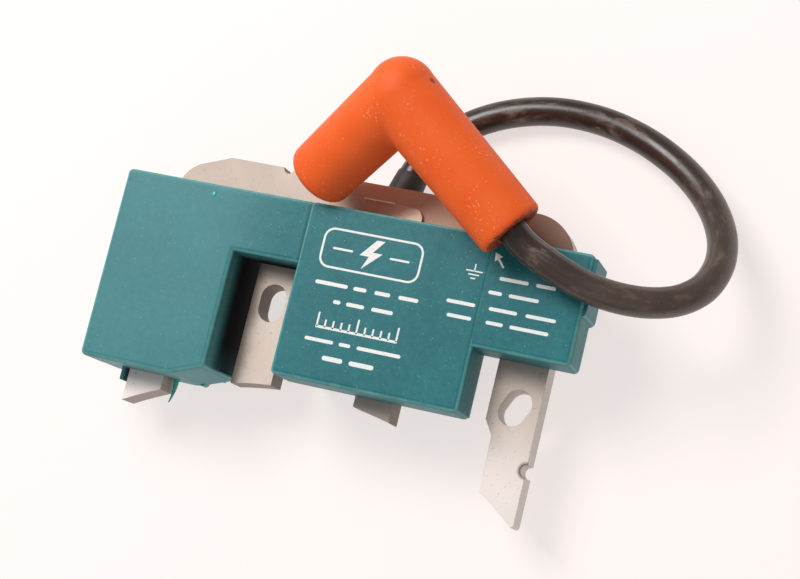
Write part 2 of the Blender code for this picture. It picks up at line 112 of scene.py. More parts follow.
def add(tree, kind, inputs, out=0, **settings):
    """Adds a node with its settings, values and links, and returns one of its outputs."""
    node = tree.nodes.new("ShaderNode" + kind)
    for key, value in settings.items():
        setattr(node, key, value)
    for key, value in inputs.items():
        if isinstance(value, bpy.types.NodeSocket):
            tree.links.new(value, node.inputs[key])
        else:
            node.inputs[key].default_value = value
    return node.outputs[out]


def put(tree, shader, **sockets):
    """Links outputs to the shader's sockets, or sets a plain value; underscores stand for spaces."""
    for name, value in sockets.items():
        socket = shader.inputs[name.replace("_", " ")]
        if isinstance(value, bpy.types.NodeSocket):
            tree.links.new(value, socket)
        else:
            socket.default_value = value


def per_mm(size):
    """A texture scale that makes one feature this many millimetres."""
    return 1 / (size * MM)


def scene_object(name, mesh, *materials):
    piece = bpy.data.objects.new(name, mesh)
    for material in materials:
        mesh.materials.append(material)
    bpy.context.scene.collection.objects.link(piece)
    return piece


rubber, tree, shader = new_material("extruded_rubber_jacket")
place = add(tree, "TexCoord", {}, "Object")
# The map runs in millimetres along the cable and round it. Scuffs are 6 mm long and 2 mm wide, smears of dust
# 13 mm, and the rubber's own grain is drawn as coarse as 0.3 mm so that it shows
SCUFF_LENGTH = 6.25
along = add(tree, "UVMap", {}, uv_map="along_lead")
streak = add(tree, "Mapping", {"Vector": along, "Scale": (1.0, 3.0, 1.0)})
scuff = add(tree, "TexNoise", {"Vector": streak, "Scale": 1 / SCUFF_LENGTH, "Detail": 6.0, "Roughness": 0.62,
                               "Distortion": 0.4})
smear = add(tree, "TexNoise", {"Vector": place, "Scale": per_mm(13), "Detail": 3.0, "Roughness": 0.6})
grain = add(tree, "TexNoise", {"Vector": place, "Scale": per_mm(0.3), "Detail": 2.0})
worn = add(tree, "MapRange", {"Value": scuff, "From Min": 0.47, "From Max": 0.68},
           interpolation_type="SMOOTHSTEP")
hazy = add(tree, "MapRange", {"Value": smear, "From Min": 0.42, "From Max": 0.7},
           interpolation_type="SMOOTHSTEP")
streaky = add(tree, "Math", {0: worn, 1: hazy}, operation="MULTIPLY")
# Painted sheen: the raised end of the loop is painted paler, as light from above falls on it; near the boot
# the painted sheen fades out again
SHEEN_RISE_SPAN = (75.0, 150.0)
SHEEN_FADE_SPAN = (158.0, 182.0)
run = add(tree, "SeparateXYZ", {"Vector": along}, "X")
painted_sheen = add(tree, "MapRange", {"Value": run, "From Min": SHEEN_RISE_SPAN[0], "From Max": SHEEN_RISE_SPAN[1], "To Max": 0.34},
              interpolation_type="SMOOTHSTEP")
near_boot_fade = add(tree, "MapRange", {"Value": run, "From Min": SHEEN_FADE_SPAN[0], "From Max": SHEEN_FADE_SPAN[1],
                                "To Min": 1.0, "To Max": 0.15})
painted_sheen = add(tree, "Math", {0: painted_sheen, 1: near_boot_fade}, operation="MULTIPLY")
sheen_patchiness = add(tree, "MapRange", {"Value": smear, "From Min": 0.3, "From Max": 0.7, "To Min": 0.5, "To Max": 1.1})
patchy_amount = add(tree, "Math", {0: painted_sheen, 1: sheen_patchiness}, operation="MULTIPLY")
# Real scuffs and the painted sheen both make the jacket paler
paling = add(tree, "Math", {0: streaky, 1: patchy_amount}, operation="ADD", use_clamp=True)
dark = add(tree, "Mix", {0: paling, 6: linear("#2B1B14"), 7: linear("#7A665B")}, 2, data_type="RGBA")
# Specks of dust, 0.2 mm across and about 1.6 mm apart
speck = add(tree, "TexVoronoi", {"Vector": place, "Scale": per_mm(1.6)}, "Distance")
dust = add(tree, "MapRange", {"Value": speck, "From Min": 0.035, "From Max": 0.09, "To Min": 0.55,
                              "To Max": 0.0})
dusty = add(tree, "Mix", {0: dust, 6: dark, 7: linear("#9A8A7E")}, 2, data_type="RGBA")
rough = add(tree, "MapRange", {"Value": worn, "To Min": 0.3, "To Max": 0.5})
bump = add(tree, "Bump", {"Height": grain, "Strength": 0.25, "Distance": 0.05 * MM})
put(tree, shader, Base_Color=dusty, Roughness=rough, Normal=bump, Specular_IOR_Level=0.7)

# The lead leaves straight through its gland, and goes straight into the boot
way_in = (ELBOW - CABLE_END).normalized()
route = [LEAD_EXIT + LEAD_WAY * reach for reach in (-LEAD_STUB, 0.0, GLAND_REACH / 2, GLAND_REACH + 1)]
route += [Vector(p) for p in ROUTE]
route += [CABLE_END - way_in * 4, CABLE_END + way_in, CABLE_END + way_in * LEAD_INSIDE]
PER_SPAN = 10
RING = 32
centreline = [p * MM for p in smooth_route(route, PER_SPAN)]
shape = bmesh.new()
laid = shape.loops.layers.uv.new("along_lead")
side = Vector((0.0, 0.0, 1.0)).cross(LEAD_WAY).normalized()
ring, travelled = None, 0.0
for i, point in enumerate(centreline):
    ahead = (centreline[min(i + 1, len(centreline) - 1)] - centreline[max(i - 1, 0)]).normalized()
    side = (side - ahead * side.dot(ahead)).normalized()
    turn = Matrix((side, ahead.cross(side), ahead)).transposed().to_4x4()
    made = bmesh.ops.create_circle(shape, cap_ends=False, segments=RING, radius=LEAD_RADIUS * MM,
                                   matrix=Matrix.Translation(point) @ turn)["verts"]
    step = (point - centreline[i - 1]).length / MM if i else 0.0
    if ring:
        for k in range(RING):
            face = shape.faces.new((ring[k], ring[(k + 1) % RING], made[(k + 1) % RING], made[k]))
            face.smooth = True
            corners = ((k, 0.0), (k + 1, 0.0), (k + 1, step), (k, step))
            for loop, (around, further) in zip(face.loops, corners):
                loop[laid].uv = (travelled + further, around * 2 * pi * LEAD_RADIUS / RING)
    travelled += step
    ring = made
bmesh.ops.holes_fill(shape, edges=[edge for edge in shape.edges if edge.is_boundary])
bmesh.ops.recalc_face_normals(shape, faces=shape.faces)
mesh = bpy.data.meshes.new("lead_jacket")
shape.to_mesh(mesh)
shape.free()
lead = scene_object("lead_jacket", mesh, rubber)
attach(lead, "coil")
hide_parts("ht_lead")


# ---- Plug boot ----
# A right-angled boot moulded in orange silicone: a sleeve that grips the lead, a round elbow and a socket that
# goes over the spark plug. Silicone is matt and soft, so it holds dust; the lead has blackened its mouth.
BOOT_RADIUS = 8.6
SOCKET_RADIUS = BOOT_RADIUS - 0.03
CROWN_RADIUS = BOOT_RADIUS - 0.6
CROWN_OUT = 1.1
SLEEVE_END = 8.0
SOCKET_END = 8.0
LEAD_BORE = 4.1
PLUG_BORE = 5.7
NICK = Vector((16.6, 55.5, 46.2))
SKIN_VOXEL = 0.42
ROUND_SIDES = 96


def finish_mesh(name, shape, smooth=True):
    mesh = bpy.data.meshes.new(name)
    for face in shape.faces:
        face.smooth = smooth
    shape.to_mesh(mesh)
    shape.free()
    return mesh


def rod(name, start, stop, radius, far_radius=None, sides=ROUND_SIDES, rounding=0.0):
    """A round bar or cone between two points, as a loose object for the steps that follow."""
    run = stop - start
    shape = bmesh.new()
    bmesh.ops.create_cone(shape, cap_ends=True, segments=sides, radius1=radius * MM,
                          radius2=(radius if far_radius is None else far_radius) * MM, depth=run.length * MM)
    if rounding:
        rims = [e for e in shape.edges if abs(e.verts[0].co.z - e.verts[1].co.z) < 1e-6]
        bmesh.ops.bevel(shape, geom=rims, offset=rounding * MM, offset_type="OFFSET", segments=5, profile=0.5,
                        affect="EDGES", clamp_overlap=True, material=-1)
    turn = Vector((0, 0, 1)).rotation_difference(run).to_matrix().to_4x4()
    middle = Matrix.Translation((start + run / 2) * MM)
    bmesh.ops.transform(shape, matrix=middle @ turn, verts=shape.verts)
    return scene_object(name, finish_mesh(name, shape))


def ball(name, centre, radius):
    shape = bmesh.new()
    bmesh.ops.create_uvsphere(shape, u_segments=ROUND_SIDES, v_segments=ROUND_SIDES // 2, radius=radius * MM)
    bmesh.ops.translate(shape, vec=centre * MM, verts=shape.verts)
    return scene_object(name, finish_mesh(name, shape))


def settle(piece):
    """Applies every modifier of a piece."""
    bpy.context.view_layer.update()
    ready = piece.evaluated_get(bpy.context.evaluated_depsgraph_get())
    mesh = bpy.data.meshes.new_from_object(ready)
    piece.modifiers.clear()
    piece.data = mesh
    return piece


def combine(piece, steps):
    """Adds shapes to a piece or cuts them out of it, and then removes them."""
    for operation, others in steps:
        for other in others:
            step = piece.modifiers.new(other.name, "BOOLEAN")
            step.operation, step.solver, step.object = operation, "EXACT", other
    settle(piece)
    for _, others in steps:
        for other in others:
            bpy.data.objects.remove(other, do_unlink=True)
    return piece


sleeve_way = -way_in
socket_way = (MOUTH - ELBOW).normalized()
outward = -(sleeve_way + socket_way).normalized()
boot = rod("boot_skin", ELBOW, CABLE_END, BOOT_RADIUS, SLEEVE_END, rounding=1.1)
combine(boot, [
    ("UNION", [rod("socket", ELBOW, MOUTH, SOCKET_RADIUS, SOCKET_END, rounding=1.9),
               ball("elbow", ELBOW, BOOT_RADIUS),
               ball("crown", ELBOW + outward * CROWN_OUT, CROWN_RADIUS)]),
    ("DIFFERENCE", [rod("sleeve_bore", ELBOW - sleeve_way * 2.0, CABLE_END + sleeve_way * 2, LEAD_BORE),
                    rod("socket_bore", ELBOW - socket_way * 2.0, MOUTH + socket_way * 2, PLUG_BORE)]),
])
# The remesh and a little smoothing run the four shapes into one moulded skin
remesh = boot.modifiers.new("skin", "REMESH")
remesh.mode, remesh.voxel_size = "VOXEL", SKIN_VOXEL * MM
relax = boot.modifiers.new("relax", "SMOOTH")
relax.factor, relax.iterations = 0.5, 10
settle(boot)
for face in boot.data.polygons:
    face.use_smooth = True

silicone, tree, shader = new_material("moulded_orange_silicone")
place = add(tree, "TexCoord", {}, "Object")
# Cloudy colour over 11 mm, dust in flecks of 0.5 mm that gather in patches of 7 mm, and a moulded grain, drawn
# 0.45 mm so that it shows
cloud = add(tree, "TexNoise", {"Vector": place, "Scale": per_mm(11), "Detail": 3.0})
body = add(tree, "Mix", {0: cloud, 6: linear("#F0591A"), 7: linear("#FE7230")}, 2, data_type="RGBA")
fleck = add(tree, "TexNoise", {"Vector": place, "Scale": per_mm(0.55), "Detail": 2.0, "Roughness": 0.5})
patch = add(tree, "TexNoise", {"Vector": place, "Scale": per_mm(7), "Detail": 2.0})
gather = add(tree, "MapRange", {"Value": patch, "From Min": 0.4, "From Max": 0.7, "To Max": 0.09})
level = add(tree, "Math", {0: fleck, 1: gather}, operation="ADD")
dust = add(tree, "MapRange", {"Value": level, "From Min": 0.7, "From Max": 0.77, "To Max": 0.5})
dusted = add(tree, "Mix", {0: dust, 6: body, 7: linear("#FFC09A")}, 2, data_type="RGBA")
# The lead blackens the sleeve's rim. Reach is how far a point is from the rim towards the elbow, in millimetres
reach = add(tree, "VectorMath", {0: place, 1: tuple(way_in / MM)}, "Value", operation="DOT_PRODUCT")
from_end = add(tree, "Math", {0: reach, 1: CABLE_END.dot(way_in)}, operation="SUBTRACT")
rag = add(tree, "TexNoise", {"Vector": place, "Scale": per_mm(1.5), "Detail": 4.0, "Roughness": 0.7})
ragged = add(tree, "MapRange", {"Value": rag, "From Min": 0.3, "From Max": 0.75, "To Min": -0.3,
                                "To Max": 0.35})
edge = add(tree, "Math", {0: from_end, 1: ragged}, operation="ADD")
grime = add(tree, "MapRange", {"Value": edge, "From Min": -0.1, "From Max": 0.5, "To Min": 0.8,
                               "To Max": 0.0}, interpolation_type="SMOOTHSTEP")
# A small nick on the elbow has filled with dirt
off = add(tree, "VectorMath", {0: place, 1: tuple(NICK * MM)}, "Value", operation="DISTANCE")
nick = add(tree, "MapRange", {"Value": off, "From Min": 0.5 * MM, "From Max": 1.1 * MM, "To Min": 0.75,
                              "To Max": 0.0})
dirt = add(tree, "Math", {0: grime, 1: nick}, operation="MAXIMUM")
skin = add(tree, "Mix", {0: dirt, 6: dusted, 7: linear("#4A1E12")}, 2, data_type="RGBA")
grain = add(tree, "TexNoise", {"Vector": place, "Scale": per_mm(0.45), "Detail": 4.0, "Roughness": 0.6})
bump = add(tree, "Bump", {"Height": grain, "Strength": 0.35, "Distance": 0.08 * MM})
put(tree, shader, Base_Color=skin, Roughness=0.52, Normal=bump, Specular_IOR_Level=0.25,
    Subsurface_Weight=0.12, Subsurface_Scale=1.5 * MM, Subsurface_Radius=(1.0, 0.35, 0.12))
boot.data.materials.clear()
boot.data.materials.append(silicone)
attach(boot, "boot")
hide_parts("plug_boot")


# ---- Laminated core ----
# Fifteen electrical steel sheets, punched to one outline and stacked: a yoke and four legs, with slots for the
# mounting screws. Punching rounds each sheet's edge a little. The bare steel has tarnished along the yoke, and
# painted shade, painted light and a painted reflection of the boot lie on it too.
SHEETS = 15
SHEET_GAP = 0.01
SHEET_ROUND = 0.07
CORE_LOW = 9.0
CORE_HIGH = 16.4
HALF_DEPTH = 36.15
YOKE_FRONT = 21.6
LEGS = [(-50.05, -41.0), (-23.95, -13.85), (7.15, 16.55)]
MOUNT_LEG = (38.8, 50.7)
WAIST = (2.2, -13.15, -16.65)
BITE, BITE_RADIUS = (50.7, -22.85), 1.5
HIP, HIP_RADIUS = (39.7, 25.15), 11.0
YOKE_NOTCH, NOTCH_RADIUS = -22.8, 1.3
SHOULDER, SHOULDER_RADIUS = (-42.05, 26.0), 8.0
SHOULDER_START = -37.9
FLYWHEEL = (-6.45, -105.55)
POLE_RADIUS = 89.6
SLOT_RADIUS = 3.2
SLOTS = [((-18.5, 3.0), 0.0, 1.4), ((44.95, -9.35), 25.0, 1.25)]


def arc(centre, radius, start, stop, count):
    """Points round part of a circle, from one angle to another in degrees."""
    angles = [radians(start + (stop - start) * i / count) for i in range(count + 1)]
    return [(centre[0] + radius * cos(a), centre[1] + radius * sin(a)) for a in angles]


def pole_face(left, right, count=14):
    """The end of a leg, which follows the flywheel."""
    across = [left + (right - left) * i / count for i in range(count + 1)]
    return [(x, FLYWHEEL[1] + sqrt(POLE_RADIUS ** 2 - (x - FLYWHEEL[0]) ** 2)) for x in across]


def core_outline(grow=0.0):
    """The four-legged lamination, anticlockwise; grown, it is the room that the case leaves for it."""
    outline = []
    for left, right in LEGS:
        outline += [(left - grow, YOKE_FRONT - grow), *pole_face(left - grow, right + grow),
                    (right + grow, YOKE_FRONT - grow)]
    # The long leg narrows at its waist, and has a small bite in its side
    left, right = MOUNT_LEG
    narrower, waist_back, waist_front = WAIST
    waist, tip = left + narrower, right - 0.5
    outline += [(left - grow, YOKE_FRONT - grow), (left - grow, waist_back), (waist - grow, waist_front)]
    outline += pole_face(waist + 0.2 - grow, tip) + [(right + grow, -HALF_DEPTH + 0.6)]
    if not grow:
        outline += arc(BITE, BITE_RADIUS, 270, 90, 16)
    outline += arc(HIP, HIP_RADIUS + grow, 0, 90, 24)
    if not grow:
        outline += arc((YOKE_NOTCH, HALF_DEPTH), NOTCH_RADIUS, 0, -180, 16)
    outline += [(SHOULDER_START, HALF_DEPTH + grow)] + arc(SHOULDER, SHOULDER_RADIUS + grow, 110, 180, 16)
    return outline[1:]


def slot_loop(slot):
    (x, y), lean, half = slot
    reach = (half * sin(radians(lean)), half * cos(radians(lean)))
    far = arc((x + reach[0], y + reach[1]), SLOT_RADIUS, -lean, 180 - lean, 24)
    near = arc((x - reach[0], y - reach[1]), SLOT_RADIUS, 180 - lean, 360 - lean, 24)
    return far + near


def plate(name, loops, low, high, rounding=0.0):
    """A flat outline with its holes between two heights, its edges rounded over if asked."""
    curve = bpy.data.curves.new(name, "CURVE")
    curve.dimensions, curve.fill_mode = "2D", "BOTH"
    curve.extrude = ((high - low) / 2 - rounding) * MM
    curve.bevel_depth, curve.bevel_resolution, curve.offset = rounding * MM, 1, -rounding * MM
    for loop in loops:
        spline = curve.splines.new("POLY")
        spline.points.add(len(loop) - 1)
        spline.use_cyclic_u = True
        for point, (x, y) in zip(spline.points, loop):
            point.co = (x * MM, y * MM, 0.0, 1.0)
    drawn = bpy.data.objects.new(name, curve)
    bpy.context.scene.collection.objects.link(drawn)
    bpy.context.view_layer.update()
    mesh = bpy.data.meshes.new_from_object(drawn.evaluated_get(bpy.context.evaluated_depsgraph_get()))
    bpy.data.objects.remove(drawn, do_unlink=True)
    shape = bmesh.new()
    shape.from_mesh(mesh)
    bpy.data.meshes.remove(mesh)
    bmesh.ops.remove_doubles(shape, verts=shape.verts, dist=1e-6)
    bmesh.ops.translate(shape, vec=(0, 0, (low + high) / 2 * MM), verts=shape.verts)
    bmesh.ops.recalc_face_normals(shape, faces=shape.faces)
    return scene_object(name, finish_mesh(name, shape, False))


def join(name, parts, *materials):
    """Several loose objects as one mesh."""
    shape = bmesh.new()
    for part in parts:
        shape.from_mesh(part.data)
        bpy.data.objects.remove(part, do_unlink=True)
    mesh = bpy.data.meshes.new(name)
    shape.to_mesh(mesh)
    shape.free()
    return scene_object(name, mesh, *materials)


steel, tree, shader = new_material("punched_electrical_steel")
place = add(tree, "TexCoord", {}, "Object")
at_x, at_y = (add(tree, "SeparateXYZ", {"Vector": place}, axis) for axis in "XY")
facing = add(tree, "NewGeometry", {}, "Normal")
up = add(tree, "Math", {0: add(tree, "SeparateXYZ", {"Vector": facing}, "Z")}, operation="ABSOLUTE")
# The steel is cloudy over 10 mm. The brown along the yoke is partly tarnish and partly painted shade and a
# painted reflection of the orange boot above it, and the yoke is darker towards its back
cloud = add(tree, "TexNoise", {"Vector": place, "Scale": per_mm(10), "Detail": 5.0, "Roughness": 0.6})
cloudy = add(tree, "MapRange", {"Value": cloud, "From Min": 0.3, "From Max": 0.7,
                                "To Min": -7 * MM, "To Max": 7 * MM})
shifted = add(tree, "Math", {0: at_x, 1: cloudy}, operation="ADD")
across = add(tree, "MapRange", {"Value": shifted, "From Min": -24 * MM, "From Max": 4 * MM},
             interpolation_type="SMOOTHSTEP")
on_yoke = add(tree, "MapRange", {"Value": at_y, "From Min": 18 * MM, "From Max": 24 * MM})
tarnish_and_shade = add(tree, "Math", {0: across, 1: on_yoke}, operation="MULTIPLY")
bright = add(tree, "Mix", {0: cloud, 6: linear("#AC9D93"), 7: linear("#D3C5BC")}, 2, data_type="RGBA")
# Painted light: the long leg is painted paler towards its tip, away from the case's shade, as a painted
# reflection of the bright table, and the first leg is painted pale as if fully lit where the case shades it
painted_tip_light = add(tree, "MapRange", {"Value": at_y, "From Min": -31 * MM, "From Max": -6 * MM,
                                   "To Min": 0.95, "To Max": 0.0}, interpolation_type="SMOOTHSTEP")
far_leg = add(tree, "MapRange", {"Value": at_x, "From Min": 30 * MM, "From Max": 38 * MM})
tip = add(tree, "Math", {0: painted_tip_light, 1: far_leg}, operation="MULTIPLY")
on_first = add(tree, "MapRange", {"Value": at_x, "From Min": -40.5 * MM, "From Max": -38 * MM,
                                  "To Min": 1.0, "To Max": 0.0})
clear_of_yoke = add(tree, "MapRange", {"Value": at_y, "From Min": 14 * MM, "From Max": 18 * MM,
                                       "To Min": 1.0, "To Max": 0.0})
first_leg = add(tree, "Math", {0: on_first, 1: clear_of_yoke}, operation="MULTIPLY")
painted_leg_light = add(tree, "Math", {0: tip, 1: first_leg}, operation="MAXIMUM")
steel_tone = add(tree, "Mix", {0: painted_leg_light, 6: bright, 7: linear("#EFE6E2")}, 2, data_type="RGBA")
# The yoke is made darker towards its back
back = add(tree, "MapRange", {"Value": at_y, "From Min": 22 * MM, "From Max": 28 * MM, "To Max": 0.6})
steel_tone = add(tree, "Mix", {0: back, 6: steel_tone, 7: linear("#8A7B72")}, 2, data_type="RGBA")
# Tarnish with painted shade and reflection: the yoke's brown grows darker towards its far end
far_end = add(tree, "MapRange", {"Value": at_x, "From Min": 16 * MM, "From Max": 38 * MM},
              interpolation_type="SMOOTHSTEP")
brown_tarnish_and_shade = add(tree, "Mix", {0: far_end, 6: linear("#C8A692"), 7: linear("#85685A")}, 2, data_type="RGBA")
face = add(tree, "Mix", {0: tarnish_and_shade, 6: steel_tone, 7: brown_tarnish_and_shade}, 2, data_type="RGBA")
# The left mounting leg darkens towards the case's wall: partly dirt, partly the wall's shadow painted on
ragged = add(tree, "MapRange", {"Value": cloud, "From Min": 0.3, "From Max": 0.7,
                                "To Min": -0.9 * MM, "To Max": 0.9 * MM})
drifted = add(tree, "Math", {0: at_x, 1: ragged}, operation="ADD")
dirt_and_shade = add(tree, "MapRange", {"Value": drifted, "From Min": -24.4 * MM, "From Max": -20.2 * MM,
                               "To Min": 0.7, "To Max": 0.0}, interpolation_type="SMOOTHSTEP")
on_mount = add(tree, "Math", {0: at_x, 1: -25 * MM}, operation="GREATER_THAN")
in_notch = add(tree, "Math", {0: at_y, 1: 21 * MM}, operation="LESS_THAN")
for limit in (on_mount, in_notch):
    dirt_and_shade = add(tree, "Math", {0: dirt_and_shade, 1: limit}, operation="MULTIPLY")
face = add(tree, "Mix", {0: dirt_and_shade, 6: face, 7: linear("#5E5148")}, 2, data_type="RGBA")
# Rust pits of 0.9 mm. A punched face is duller than the rolled one; on the long leg it is painted bright, a
# painted reflection of the bright table
pit = add(tree, "TexNoise", {"Vector": place, "Scale": per_mm(0.9), "Detail": 3.0, "Roughness": 0.65})
pitted = add(tree, "MapRange", {"Value": pit, "From Min": 0.63, "From Max": 0.72, "To Max": 0.55})
spotted = add(tree, "Mix", {0: pitted, 6: face, 7: linear("#7A6A5F")}, 2, data_type="RGBA")
sheared = add(tree, "MapRange", {"Value": up, "From Min": 0.15, "From Max": 0.55, "To Min": 1.0, "To Max": 0.0})
punched_face_and_reflection = add(tree, "Mix", {0: far_leg, 6: linear("#85756A"), 7: linear("#CFC6C0")}, 2, data_type="RGBA")
cut = add(tree, "Mix", {0: sheared, 6: spotted, 7: punched_face_and_reflection}, 2, data_type="RGBA")
# A brown ring was burnt round the small bite in the long leg's side
bite = add(tree, "VectorMath", {0: place, 1: (BITE[0] * MM, BITE[1] * MM, CORE_HIGH * MM)}, "Value",
           operation="DISTANCE")
ringed = add(tree, "MapRange", {"Value": bite, "From Min": 1.6 * MM, "From Max": 2.3 * MM,
                                "To Min": 0.8, "To Max": 0.0})
cut = add(tree, "Mix", {0: ringed, 6: cut, 7: linear("#54402F")}, 2, data_type="RGBA")
# Rolling lines run along the yoke, 0.35 mm apart
rolled = add(tree, "Mapping", {"Vector": place, "Scale": (0.02, 1.0, 1.0)})
line = add(tree, "TexNoise", {"Vector": rolled, "Scale": per_mm(0.35), "Detail": 2.0})
uneven = add(tree, "MapRange", {"Value": cloud, "To Min": 0.36, "To Max": 0.56})
bump = add(tree, "Bump", {"Height": line, "Strength": 0.18, "Distance": 0.03 * MM})
put(tree, shader, Base_Color=cut, Metallic=0.4, Roughness=uneven, Normal=bump)

loops = [core_outline(), *map(slot_loop, SLOTS)]
pitch = (CORE_HIGH - CORE_LOW) / SHEETS
stack = []
for i in range(SHEETS):
    low = CORE_LOW + i * pitch
    stack.append(plate(f"sheet_{i}", loops, low + SHEET_GAP, low + pitch - SHEET_GAP, SHEET_ROUND))
core = join("core_stack", stack, steel)
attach(core, "coil")
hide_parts("core_laminations")


# ---- Case ----
# One shell moulded in teal thermoset round the two wound legs. Its top is flat with rounded edges; the middle
# stands a little above the rest. Corners have rubbed pale, and dust lies in the surface.
HALF_LENGTH = 58.65
CASE_HIGH = 27.8
CENTRE_HIGH = 28.6
RIGHT_HIGH = 28.35
LEFT_SKIRT = 6.4
WALL = 1.6
LEAD_WALL = 2.8
EDGE_ROUND = 1.2
# Blocks that share a wall stand back from each other by these, so that no two faces lie in one plane
TUCK = 0.2
SKIRT_TUCK = 0.06
GAP = 0.3
SEAT = CORE_HIGH + GAP
CASE_BACK = 27.0
LEFT_FRONT = -19.45
LEFT_RIGHT = -27.05
CHAMFER = (8.4, 3.1)
CHAMFER_SHIFT = 0.42
BRIDGE_FRONT = 12.0
CENTRE = ((-10.65, -14.45), (34.95, 27.0))
STEP_X = 5.0
RIGHT_FRONT = 0.95
RIGHT_END = 57.55
BELLY = ((-7.0, -12.5), (31.0, 24.0))
LEFT_BELLY = ((-56.4, -16.8), (-31.5, 22.0))
STRAP = (-2.25, 13.15)
BLADE = (27.6, 33.2)
BLADE_HEIGHTS = (21.0, 21.8)


def rectangle(low, high):
    return [(low[0], low[1]), (high[0], low[1]), (high[0], high[1]), (low[0], high[1])]


def left_outline(inset):
    i = inset
    corner = CHAMFER_SHIFT * i
    return [
        (-HALF_LENGTH + i, CASE_BACK - i), (-HALF_LENGTH + i, LEFT_FRONT + i),
        (LEFT_RIGHT - CHAMFER[0] - corner, LEFT_FRONT + i), (LEFT_RIGHT - i, LEFT_FRONT + CHAMFER[1] + corner),
    ]


def long_outline(inset):
    """The case's upper part seen from above, without the block that stands up in the middle."""
    i = inset
    return left_outline(i) + [
        (LEFT_RIGHT - i, BRIDGE_FRONT + i), (STEP_X, BRIDGE_FRONT + i), (STEP_X, RIGHT_FRONT + TUCK + i),
        (RIGHT_END - TUCK - i, RIGHT_FRONT + TUCK + i), (RIGHT_END - TUCK - i, CASE_BACK - i),
    ]


def rounded_block(name, outline, low, high, rounding=EDGE_ROUND, segments=6):
    """A block whose upper and standing edges are rounded over."""
    block = plate(name, [outline], low, high)
    shape = bmesh.new()
    shape.from_mesh(block.data)
    bmesh.ops.dissolve_limit(shape, angle_limit=radians(1), verts=shape.verts, edges=shape.edges)
    floor = low * MM + 1e-5
    rounded = [edge for edge in shape.edges if edge.is_convex and max(v.co.z for v in edge.verts) > floor]
    bmesh.ops.bevel(shape, geom=rounded, offset=rounding * MM, segments=segments, profile=0.5, affect="EDGES",
                    clamp_overlap=True, material=-1)
    shape.to_mesh(block.data)
    shape.free()
    return block


def box(name, low, high, rounding=0.0):
    shape = bmesh.new()
    bmesh.ops.create_cube(shape, size=1.0)
    size = Vector(high) - Vector(low)
    bmesh.ops.scale(shape, vec=size * MM, verts=shape.verts)
    bmesh.ops.translate(shape, vec=(Vector(low) + size / 2) * MM, verts=shape.verts)
    if rounding:
        bmesh.ops.bevel(shape, geom=shape.edges[:], offset=rounding * MM, segments=3, profile=0.5,
                        affect="EDGES", clamp_overlap=True, material=-1)
    return scene_object(name, finish_mesh(name, shape, False))


def belly_hollow(belly, back_wall):
    (x0, y0), (x1, y1) = belly
    return rectangle((x0 + WALL, y0 + WALL), (x1 - WALL, y1 - back_wall))


left_block = left_outline(0.0) + [(LEFT_RIGHT, CASE_BACK)]
left_block = [(x + (SKIRT_TUCK if x < -50 else -SKIRT_TUCK), y + (SKIRT_TUCK if y < 0 else -SKIRT_TUCK))
              for x, y in left_block]
boss_outline = [(RIGHT_END - 1, 26.0), *arc((RIGHT_END - 0.7, 13.8), 1.5, 180, 360, 16),
                (RIGHT_END + 0.8, 26.0)]
case = rounded_block("case_shell", long_outline(0.0), SEAT, CASE_HIGH)
combine(case, [
    ("UNION", [
        rounded_block("left_skirt", left_block, LEFT_SKIRT, CASE_HIGH - 0.5),
        rounded_block("centre_block", rectangle(*CENTRE), SEAT + 0.05, CENTRE_HIGH),
        rounded_block("right_block",
                      rectangle((CENTRE[1][0] - 6, RIGHT_FRONT), (RIGHT_END, CASE_BACK - 0.1)),
                      SEAT + 0.03, RIGHT_HIGH),
        rounded_block("end_boss", boss_outline, 14.5, RIGHT_HIGH - 0.75, 0.7, 4),
        plate("belly", [rectangle(*BELLY)], 0.0, CORE_HIGH + 2),
        plate("left_belly", [rectangle(*LEFT_BELLY)], 0.0, LEFT_SKIRT + WALL),
        rounded_block("leg_rib", rectangle((-51.7, -22.65), (-50.9, LEFT_FRONT + 1)),
                      CORE_LOW, CORE_HIGH + 1, 0.3, 3),
        rod("gate_nub", Vector((-34.4, -18.35, 4.9)), Vector((-34.4, -18.35, 8.0)), 0.95,
            rounding=0.3, sides=32),
    ]),
    ("DIFFERENCE", [
        plate("upper_hollow", [long_outline(WALL)], SEAT + WALL, CASE_HIGH - WALL),
        plate("left_hollow", [left_outline(WALL) + [(LEFT_RIGHT - WALL, CASE_BACK - WALL)]],
              LEFT_SKIRT + WALL, CASE_HIGH - WALL - 0.1),
        plate("left_belly_hollow", [belly_hollow(LEFT_BELLY, WALL)], -1.0, LEFT_SKIRT + WALL + 1),
        plate("belly_hollow", [belly_hollow(BELLY, LEAD_WALL)], -1.0, CASE_HIGH - WALL - 0.2),
        plate("core_slot", [core_outline(GAP)], CORE_LOW - GAP, SEAT),
        rod("lead_hole", LEAD_EXIT - LEAD_WAY * 6, LEAD_EXIT + LEAD_WAY * 2, LEAD_RADIUS + GAP),
        box("strap_slot", (STRAP[0] - GAP, 20.0, CORE_HIGH), (STRAP[1] + GAP, 28.0, CORE_HIGH + 1.7)),
        box("blade_slot", (BLADE[0] - GAP, 20.0, BLADE_HEIGHTS[0] - GAP),
            (BLADE[1] + GAP, 28.0, BLADE_HEIGHTS[1] + GAP)),
    ]),
])
for face in case.data.polygons:
    face.use_smooth = True
case.data.set_sharp_from_angle(angle=radians(32))
even = case.modifiers.new("even_shading", "WEIGHTED_NORMAL")
even.keep_sharp = True

thermoset, tree, shader = new_material("moulded_teal_thermoset")
place = add(tree, "TexCoord", {}, "Object")
at_x, at_y, at_z = (add(tree, "SeparateXYZ", {"Vector": place}, axis) for axis in "XYZ")
